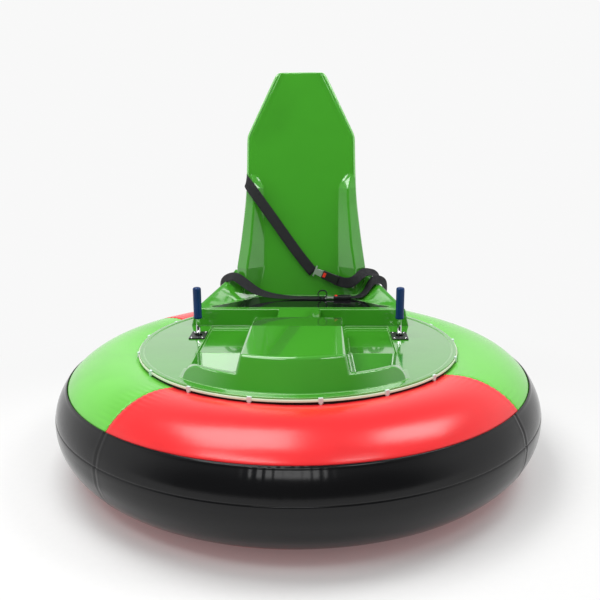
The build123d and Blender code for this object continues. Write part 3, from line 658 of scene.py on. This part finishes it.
print("a section of 5 points gives a table of", turned([(1, 0)] * 5, (0, 0, 0)).shape)

# %% [markdown]
# ## Light strip
#
# A milky tube with small lamps in it runs round the deck's rim, held by moulded clips. The
# tube is a rounded ring, so that it takes a soft highlight along its length. The clips are
# right already.

# %% Light strip
strip_low, strip_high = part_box("light_strip")
strip_middle = (strip_low.z + strip_high.z) / 2
strip_half = (strip_high.z - strip_low.z) / 2
tube_half_depth = 0.0025
tube_turns = np.linspace(0, tau, 13)[:-1]
strip_section = [
    (strip_high.x - tube_half_depth + tube_half_depth * cos(turn), strip_middle + strip_half * sin(turn))
    for turn in tube_turns
]
strip_section.append(strip_section[0])
strip_mesh = capped("light_tube", [turned(strip_section, (0, 0, 0), 200)])
light_tube = add_piece("light_tube", strip_mesh, milky_sleeve, stands_for=["light_strip"])
print(light_tube.name, count(light_tube), "triangles")

# %% [markdown]
# ## Grips
#
# Each lever has a soft sleeve pushed on the rod: straight, with a small round top, and a
# thicker ring at its foot where it was rolled on.

# %% Grips
grip_bore_radius = 0.0062
for side in ("left", "right"):
    low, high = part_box(f"grip_{side}")
    x, y = (low.x + high.x) / 2, (low.y + high.y) / 2
    radius = (high.x - low.x) / 2
    tall = high.z - low.z
    profile = [(grip_bore_radius, 0.0), (radius - 0.003, 0.0), (radius - 0.0006, 0.0015)]
    profile += [(radius, 0.004), (radius, 0.009), (radius - 0.0008, 0.0105)]
    profile += [(radius - 0.0012, 0.012), (radius - 0.0010, tall - 0.012)]
    profile += [(radius - 0.0012, tall - 0.007), (radius - 0.0035, tall - 0.0025)]
    profile += [(radius - 0.008, tall - 0.0006), (0.004, tall), (0.0, tall)]
    name = f"grip_sleeve_{side}"
    mesh = capped(name, [turned(profile, (x, y, low.z))])
    grip = add_piece(name, mesh, blue_sleeve, f"lever_{side}", [f"grip_{side}"])
    print(grip.name, count(grip), "triangles")

# %% [markdown]
# ## Bolts on the lever plates, and the levers' sleeves
#
# Each plate is held by four small domed bolts at its corners. All of them are one mesh,
# because nothing moves them apart. A bright sleeve with a collar at its foot goes over each
# lever's thin rod, up to the grip, and rides on the lever.

# %% Plate bolts and lever sleeves
plate_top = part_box("lever_plates")[1].z
plate_half_width = 0.033
plate_half_length = 0.050
bolt_inset = 0.010
bolt_x = plate_half_width - bolt_inset
bolt_y = plate_half_length - bolt_inset
bolt_profile = [(0.0, 0.0032), (0.0018, 0.0030), (0.0034, 0.0022), (0.0042, 0.0010)]
bolt_profile += [(0.0044, 0.0), (0.0056, 0.0), (0.0056, -0.0006)]
sleeve_gap = 0.0075
sleeve_bore = 0.0061
fixings = []
for side in ("left", "right"):
    low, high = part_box(f"lever_{side}")
    x, y = (low.x + high.x) / 2, (low.y + high.y) / 2
    for across in (-1, 1):
        for along in (-1, 1):
            fixings.append(turned(bolt_profile, (x + across * bolt_x, y + along * bolt_y, plate_top), 20))
    grip_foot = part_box(f"grip_{side}")[0].z
    foot = plate_top + sleeve_gap
    sleeve_profile = [(sleeve_bore, foot), (0.0100, foot), (0.0105, foot + 0.0006)]
    sleeve_profile += [(0.0105, foot + 0.0052), (0.0100, foot + 0.0058), (0.0086, foot + 0.0064)]
    sleeve_profile += [(0.0084, grip_foot - 0.004), (0.0092, grip_foot - 0.003)]
    sleeve_profile += [(0.0092, grip_foot + 0.0005), (sleeve_bore, grip_foot + 0.0005)]
    mesh = capped(f"lever_sleeve_{side}", [turned(sleeve_profile, (x, y, 0))])
    sleeve = add_piece(f"lever_sleeve_{side}", mesh, polished_rod, f"lever_{side}")
    print(sleeve.name, count(sleeve), "triangles")
plate_fixings = add_piece("plate_fixings", capped("plate_fixings", fixings), bright_steel)
print(plate_fixings.name, count(plate_fixings), "triangles")

# %% [markdown]
# ## Belt straps
#
# A strap is a flat ribbon that bends easily along its length and hardly at all across it.
# It is modelled straight from its path: a smooth line guided by a few points, and at each
# point the way its face looks. The ribbon has rounded edges, and its own lengths along and
# across are kept for the weave.

# %% Smooth line guided by a few points
def spline_weights(points, samples):
    """Weights of a clamped cubic B-spline: samples by points."""
    knots = np.concatenate([np.zeros(3), np.linspace(0, 1, points - 2), np.ones(3)])
    where = np.linspace(0, 1, samples) * (1 - 1e-9)
    basis = [((knots[i] <= where) & (where < knots[i + 1])).astype(float) for i in range(len(knots) - 1)]
    for degree in (1, 2, 3):
        raised = []
        for i in range(len(knots) - 1 - degree):
            left = knots[i + degree] - knots[i]
            right = knots[i + degree + 1] - knots[i + 1]
            value = np.zeros(samples)
            if left > 0:
                value += (where - knots[i]) / left * basis[i]
            if right > 0:
                value += (knots[i + degree + 1] - where) / right * basis[i + 1]
            raised.append(value)
        basis = raised
    return np.array(basis).T


print("weights of 5 points at the middle of their line:", spline_weights(5, 3)[1].round(3))

# %% Strap as a ribbon
strap_width = 0.048
strap_thickness = 0.0022


def strap_table(path, faces, width=strap_width, thickness=strap_thickness, samples=90):
    """Rows along a strap, each a closed section with rounded edges."""
    weights = spline_weights(len(path), samples)
    line = weights @ np.array(path, float)
    look = weights @ np.array(faces, float)
    along = np.gradient(line, axis=0)
    along /= np.linalg.norm(along, axis=1)[:, None]
    look -= (look * along).sum(axis=1)[:, None] * along
    look /= np.linalg.norm(look, axis=1)[:, None]
    side = np.cross(along, look)
    half = thickness / 2
    section = [(-0.5, 0.0), (-0.485, 0.8), (-0.44, 1.0), (-0.2, 0.86)]
    section += [(0.2, 0.86), (0.44, 1.0), (0.485, 0.8)]
    section += [(0.5, 0.0)] + [(x, -y) for x, y in reversed(section[1:])]
    rows = [line + side * (x * width) + look * (y * half) for x, y in section]
    return np.stack(rows, axis=1), np.cumsum(np.linalg.norm(np.gradient(line, axis=0), axis=1)), section


def add_strap(name, path, stands_for, **options):
    """A strap from its path: at each point, its place and the way its face looks."""
    places, faces = zip(*path)
    table, lengths, section = strap_table(places, faces, **options)
    mesh = grid_mesh(name, table, close_columns=True)
    columns = table.shape[1]
    unwrapped = mesh.uv_layers.new(name="webbing")
    for loop in mesh.loops:
        row, column = divmod(loop.vertex_index, columns)
        unwrapped.data[loop.index].uv = (lengths[row], section[column][0] * strap_width)
    shape = bmesh.new()
    shape.from_mesh(mesh)
    bmesh.ops.holes_fill(shape, edges=shape.edges)
    bmesh.ops.recalc_face_normals(shape, faces=shape.faces)
    shape.to_mesh(mesh)
    shape.free()
    return add_piece(name, mesh, black_webbing, stands_for=stands_for)


print("straps are", strap_width * 1000, "mm wide and", strap_thickness * 1000, "mm thick")

# %% [markdown]
# ## Route of the belt
#
# The shoulder strap comes round the seat back's edge and runs down across it to a buckle. A
# short end goes from that buckle over the seat base's crest. Two lap straps come over the
# crests from both sides and meet in a second buckle on the rider's seat, with a small loop
# of webbing at its tongue. At every point of a route stands the way the strap's face looks
# there, because a strap turns as it goes over an edge.

# %% Shoulder strap
ahead = (0, -1, 0)
upward = (0, 0, 1)
shoulder_path = (
    ((-0.215, 0.652, 1.085), (0, 1, 0)),
    ((-0.244, 0.645, 1.080), (-0.5, 0.9, 0)),
    ((-0.2555, 0.620, 1.072), (-1, 0.2, 0.1)),
    ((-0.2555, 0.590, 1.064), (-1, -0.3, 0.1)),
    ((-0.250, 0.558, 1.056), (-0.4, -1, 0.1)),
    ((-0.225, 0.536, 1.024), ahead),
    ((-0.175, 0.531, 0.955), ahead),
    ((-0.10, 0.526, 0.848), ahead),
    ((-0.02, 0.512, 0.735), ahead),
    ((0.03, 0.505, 0.672), ahead),
    ((0.058, 0.503, 0.640), ahead),
)
shoulder_end_path = (
    ((0.160, 0.494, 0.607), ahead),
    ((0.188, 0.488, 0.597), ahead),
    ((0.214, 0.474, 0.595), (-0.1, -1, 0.2)),
    ((0.240, 0.458, 0.604), (-0.4, -0.9, 0.4)),
    ((0.264, 0.450, 0.628), (-0.5, -0.8, 0.5)),
    ((0.284, 0.456, 0.648), (-0.1, -0.8, 0.8)),
    ((0.306, 0.470, 0.652), (0.3, -0.6, 0.9)),
    ((0.328, 0.486, 0.644), (0.5, -0.5, 0.9)),
    ((0.350, 0.500, 0.634), (0.9, -0.4, 0.5)),
    ((0.364, 0.508, 0.612), (1, -0.3, 0.1)),
    ((0.366, 0.511, 0.580), (1, -0.2, 0)),
)
shoulder = add_strap("shoulder_strap", shoulder_path, ["belt_shoulder"])
shoulder_end = add_strap("shoulder_strap_end", shoulder_end_path, ["belt_shoulder_end"])
print("shoulder strap:", [count(piece) for piece in (shoulder, shoulder_end)], "triangles")

# %% Lap straps
lap_y = 0.430
lap_left_path = (
    ((-0.373, 0.492, 0.558), (-1, -0.4, 0)),
    ((-0.372, 0.491, 0.583), (-1, -0.5, 0.1)),
    ((-0.365, 0.488, 0.604), (-0.7, -0.6, 0.6)),
    ((-0.346, 0.482, 0.619), (-0.1, -0.6, 0.8)),
    ((-0.320, 0.470, 0.631), (0.2, -0.7, 0.7)),
    ((-0.292, 0.456, 0.626), (0.35, -0.8, 0.5)),
    ((-0.258, 0.444, 0.602), (0.35, -0.8, 0.5)),
    ((-0.222, 0.438, 0.575), (0.25, -0.7, 0.7)),
    ((-0.165, 0.434, 0.549), (0.1, -0.35, 1)),
    ((-0.06, 0.431, 0.536), (0, -0.1, 1)),
    ((0.05, lap_y, 0.534), upward),
    ((0.118, lap_y, 0.534), upward),
)
lap_right_path = (
    ((0.390, 0.466, 0.540), (1, -0.4, 0)),
    ((0.390, 0.465, 0.572), (1, -0.5, 0.1)),
    ((0.387, 0.463, 0.600), (0.8, -0.6, 0.5)),
    ((0.372, 0.459, 0.614), (0.2, -0.6, 0.8)),
    ((0.350, 0.454, 0.619), (-0.2, -0.7, 0.7)),
    ((0.330, 0.449, 0.612), (-0.6, -0.6, 0.5)),
    ((0.314, 0.443, 0.592), (-0.8, -0.5, 0.4)),
    ((0.300, 0.437, 0.566), (-0.7, -0.4, 0.6)),
    ((0.280, 0.432, 0.545), (-0.3, -0.2, 0.9)),
    ((0.252, lap_y, 0.539), upward),
    ((0.232, lap_y, 0.538), upward),
)
lap_left = add_strap("lap_strap_left", lap_left_path, ["belt_lap_left"], samples=140)
lap_right = add_strap("lap_strap_right", lap_right_path, ["belt_lap_right"])
print("lap straps:", [count(piece) for piece in (lap_left, lap_right)], "triangles")

# %% Loop at the lap strap's tongue
tail_middle = Vector((0.100, 0.417, 0.556))
tail_radius = 0.019
tail_path = []
for turn in np.linspace(radians(-75), radians(255), 11):
    outward = Vector((1.15 * cos(turn), 0.2 * cos(turn), sin(turn)))
    tail_path.append((tail_middle + tail_radius * outward, (cos(turn), 0, sin(turn))))
tail_loop = add_strap("strap_tail_loop", tail_path, (), width=0.009, thickness=0.0045, samples=40)
print(tail_loop.name, count(tail_loop), "triangles")

# %% [markdown]
# ## Lip of the seat back
#
# The seat back is trimmed with a fine raised lip that runs up one side, over the top and
# down the other. It is a thin rounded ribbon, made as a strap is, along half an outline that
# is mirrored for the other side. Its paler green is a painted highlight for the bright line along the lip.

# %% Seat lip
# Half outline of the seat back's front edge: half width, y, z, from its foot to its top
lip_outline = (
    (0.2945, 0.531, 0.665), (0.2770, 0.548, 0.775), (0.2545, 0.575, 0.950), (0.2500, 0.586, 1.025),
    (0.2475, 0.595, 1.087), (0.2445, 0.609, 1.210), (0.2440, 0.613, 1.248), (0.2410, 0.615, 1.262),
    (0.2320, 0.616, 1.282), (0.1970, 0.625, 1.353), (0.1500, 0.636, 1.449), (0.1180, 0.643, 1.514),
    (0.1080, 0.645, 1.531), (0.0920, 0.646, 1.5375), (0.0500, 0.646, 1.5380),
)
lip_width = 0.009
lip_thickness = 0.006
lip_samples = 220
lip_path = [(-x, y, z) for x, y, z in lip_outline] + [(x, y, z) for x, y, z in reversed(lip_outline)]
lip_faces = [(-0.6, -0.8, 0.1)] * 8 + [(-0.5, -0.8, 0.3)] * 4 + [(0, -0.8, 0.6)] * 3
lip_faces += [(-x, y, z) for x, y, z in reversed(lip_faces)]
# A paler gelcoat for the lip: painted highlight.
lip_highlight_gelcoat = gelcoat("lip_highlight_gelcoat", (0.16, 0.50, 0.11), edge_highlight_green)
lip_table = strap_table(lip_path, lip_faces, lip_width, lip_thickness, lip_samples)[0]
lip_mesh = grid_mesh("seat_lip", lip_table, close_columns=True)
seat_lip = add_piece("seat_lip", lip_mesh, lip_highlight_gelcoat)
print(seat_lip.name, count(seat_lip), "triangles")

# %% [markdown]
# ## Buckles
#
# A belt buckle is a flat plastic case with a push button in its face and a steel tongue that
# slides in. The case is a box that is drawn in a little at its mouth and rounded at its
# edges, and the button stands just proud of its face.

# %% Boxes laid along a direction
def boxed(centre, along, face, size, taper=1.0):
    """Eight corners of a box laid along a direction, with one end narrower."""
    along = Vector(along).normalized()
    face = Vector(face)
    face = (face - along * face.dot(along)).normalized()
    side = along.cross(face)
    corners = []
    length, width, thickness = size
    for end, narrow in ((-0.5, taper), (0.5, 1.0)):
        middle = Vector(centre) + along * (end * length)
        for across, up in ((-0.5, -0.5), (0.5, -0.5), (0.5, 0.5), (-0.5, 0.5)):
            corners.append(middle + side * (across * width * narrow) + face * (up * thickness))
    return corners


box_faces = [(0, 1, 2, 3), (7, 6, 5, 4), (0, 4, 5, 1), (1, 5, 6, 2), (2, 6, 7, 3), (3, 7, 4, 0)]


def add_boxes(name, boxes, finish, radius, stands_for=()):
    """One piece from several boxes, with rounded edges."""
    whole = bmesh.new()
    for corners in boxes:
        made = [whole.verts.new(corner) for corner in corners]
        for face in box_faces:
            whole.faces.new([made[index] for index in face])
    bmesh.ops.recalc_face_normals(whole, faces=whole.faces)
    edges = whole.edges[:]
    bmesh.ops.bevel(whole, geom=edges, offset=radius, segments=3, affect="EDGES", profile=0.6)
    mesh = bpy.data.meshes.new(name)
    whole.to_mesh(mesh)
    whole.free()
    piece = add_piece(name, mesh, finish, stands_for=stands_for)
    piece.modifiers.new("flat faces", "WEIGHTED_NORMAL")
    return piece


print("a box has", len(box_faces), "faces and", len(boxed((0, 0, 0), ahead, upward, (1, 1, 1))), "corners")

# %% Buckles
# Two buckles: middle, direction from tongue to strap, the way the face looks
buckles = (
    ((0.1355, 0.4965, 0.6180), (0.0775, -0.0045, -0.033), ahead),
    ((0.191, lap_y, 0.5385), (1, 0, 0), upward),
)
# Parts of a buckle: how far along it and off its face from the middle, size, taper
case_part = (0.0, 0.0, (0.080, 0.043, 0.0155), 0.9)
button_part = (-0.029, 0.0066, (0.013, 0.022, 0.005), 1.0)
blade_part = (-0.056, 0.0, (0.038, 0.034, 0.0028), 0.8)
stop_part = (-0.076, 0.0, (0.007, 0.052, 0.005), 1.0)


def laid(part):
    """That part of each buckle, as boxes."""
    shift, rise, size, taper = part
    boxes = []
    for middle, along, face in buckles:
        along, face = Vector(along).normalized(), Vector(face)
        face = (face - along * face.dot(along)).normalized()
        boxes.append(boxed(Vector(middle) + along * shift + face * rise, along, face, size, taper))
    return boxes


cases, buttons = laid(case_part), laid(button_part)
tongues = [box for pair in zip(laid(blade_part), laid(stop_part)) for box in pair]
buckle_cases = add_boxes("buckle_cases", cases, black_plastic, 0.0035, ["belt_buckles"])
buckle_buttons = add_boxes("buckle_buttons", buttons, red_button, 0.0012)
buckle_tongues = add_boxes("buckle_tongues", tongues, satin_steel, 0.0009, ["belt_tongues"])
print("buckles:", [count(piece) for piece in (buckle_cases, buckle_buttons, buckle_tongues)], "triangles")

# %% [markdown]
# ## Floor, light and background
#
# The car stands on a plain pale floor that runs into a white background. The floor takes
# the car's shadow near it, and far away it glows as white as the world, so no horizon
# shows. What the camera sees of the world is one even white. What glossy surfaces see of it
# is a room with pale walls, a darker ceiling and a dark wall in front of the car, which is
# what gives a glossy black band and green mouldings their deep tones. Between those tones,
# large soft lamps leave the bright patches that tell the eye how a surface curves. Matt
# surfaces are lit by an even grey that is a little darker in front of the car. One more
# lamp shines on the black band alone, which would otherwise lose its shape.

# %% Floor
floor_radius = 30.0
floor_corners = 96
white_level = 0.94
near_glow = 0.08
floor_finish = Finish("pale_floor", (0.80, 0.80, 0.795), 0.7, Specular_IOR_Level=0.2)
fine = floor_finish.noise(40, 3.0)
floor_finish.set("Base Color", floor_finish.shade(fine.above(0.3, 0.8), 0.985))
distance = floor_finish.node("ShaderNodeVectorMath", {"operation": "LENGTH"}, {0: floor_finish.place}, 1)
glow = floor_finish.node("ShaderNodeEmission", {}, {"Color": (1, 1, 1, 1), "Strength": white_level})
far = near_glow + (1 - near_glow) * distance.above(0.7, 2.1)
lit = Signal(floor_finish, floor_finish.shader.outputs[0])
blended = floor_finish.node("ShaderNodeMixShader", {}, {0: far, 1: lit, 2: glow})
floor_finish.put(floor_finish.tree.nodes["Material Output"].inputs[0], blended)
rim_turns = np.linspace(0, tau, floor_corners, endpoint=False)
rim = [(floor_radius * cos(turn), floor_radius * sin(turn), 0.0) for turn in rim_turns]
floor_mesh = bpy.data.meshes.new("floor")
floor_mesh.from_pydata(rim, [], [list(range(len(rim)))])
floor_mesh.materials.append(floor_finish.material)
floor = bpy.data.objects.new("floor", floor_mesh)
bpy.context.scene.collection.objects.link(floor)
print("floor of", 2 * floor_radius, "m across")

# %% World
class Sky(Finish):
    """The world's tree, with the methods of a finish. Its place is a direction."""

    def __init__(self, world):
        self.tree = world.node_tree
        self.place = self.node("ShaderNodeTexCoord", {}, {}, "Generated")

    def seen_by(self, ray):
        """1 for one kind of ray, such as Is Camera Ray, and 0 for the others."""
        return self.node("ShaderNodeLightPath", {}, {}, ray)


world = bpy.data.worlds.new("studio")
bpy.context.scene.world = world
world.use_nodes = True
sky = Sky(world)
_, back, up = sky.split(sky.place)
backdrop = (white_level, white_level, white_level, 1)
dark_front = (0.03, 0.035, 0.035, 1)
ceiling = (0.20, 0.21, 0.22, 1)
fill_behind = (0.62, 0.62, 0.62, 1)
fill_in_front = (0.40, 0.40, 0.40, 1)
wall = sky.mix(back.above(-0.70, -0.15), dark_front, backdrop)
mirrored = sky.mix(up.above(sin(radians(24)), sin(radians(52))), wall, ceiling)
fill = sky.mix(back.above(-0.9, 0.1), fill_in_front, fill_behind)
shiny = sky.mix(sky.seen_by("Is Glossy Ray"), fill, mirrored)
through = sky.mix(sky.seen_by("Is Transmission Ray"), shiny, backdrop)
colour = sky.mix(sky.seen_by("Is Camera Ray"), through, backdrop)
sky.put(sky.tree.nodes["Background"].inputs["Color"], colour)
print("world:", len(sky.tree.nodes), "nodes")


# %% Lamps
def soft_lamp(name, place, target, width, height, watts):
    """A large lamp at a place, aimed at a target, that the camera doesn't see."""
    data = bpy.data.lights.new(name, "AREA")
    data.shape = "RECTANGLE"
    data.size = width
    data.size_y = height
    data.energy = watts
    lamp = bpy.data.objects.new(name, data)
    bpy.context.scene.collection.objects.link(lamp)
    aim = (Vector(target) - Vector(place)).to_track_quat("-Z", "Y").to_matrix()
    lamp.matrix_world = Matrix.LocRotScale(Vector(place), aim, None)
    lamp.visible_camera = False
    return lamp


soft_lamp("overhead_lamp", (-1.15, -0.4, 3.8), (-1.15, -0.4, 0), 2.2, 2.0, 90)
soft_lamp("right_lamp", (2.2, 0.0, 3.6), (1.2, -0.3, 0.4), 1.3, 1.6, 45)
soft_lamp("front_left_lamp", (-1.5, -2.6, 3.6), (-0.6, -0.9, 0.3), 2.2, 0.7, 34)
soft_lamp("front_right_lamp", (1.6, -2.5, 3.4), (0.6, -0.9, 0.3), 1.0, 0.6, 12)
band_lamp = soft_lamp("band_lamp", (-0.1, -3.2, 2.3), (0, -0.9, 0.35), 1.5, 0.6, 11)
band_lamp.light_linking.receiver_collection = bpy.data.collections.new("lit by the band's lamp")
band_lamp.light_linking.receiver_collection.objects.link(ring_band)
bpy.context.scene.view_settings.view_transform = "Standard"
print("lamps:", [lamp.name for lamp in bpy.data.lights])
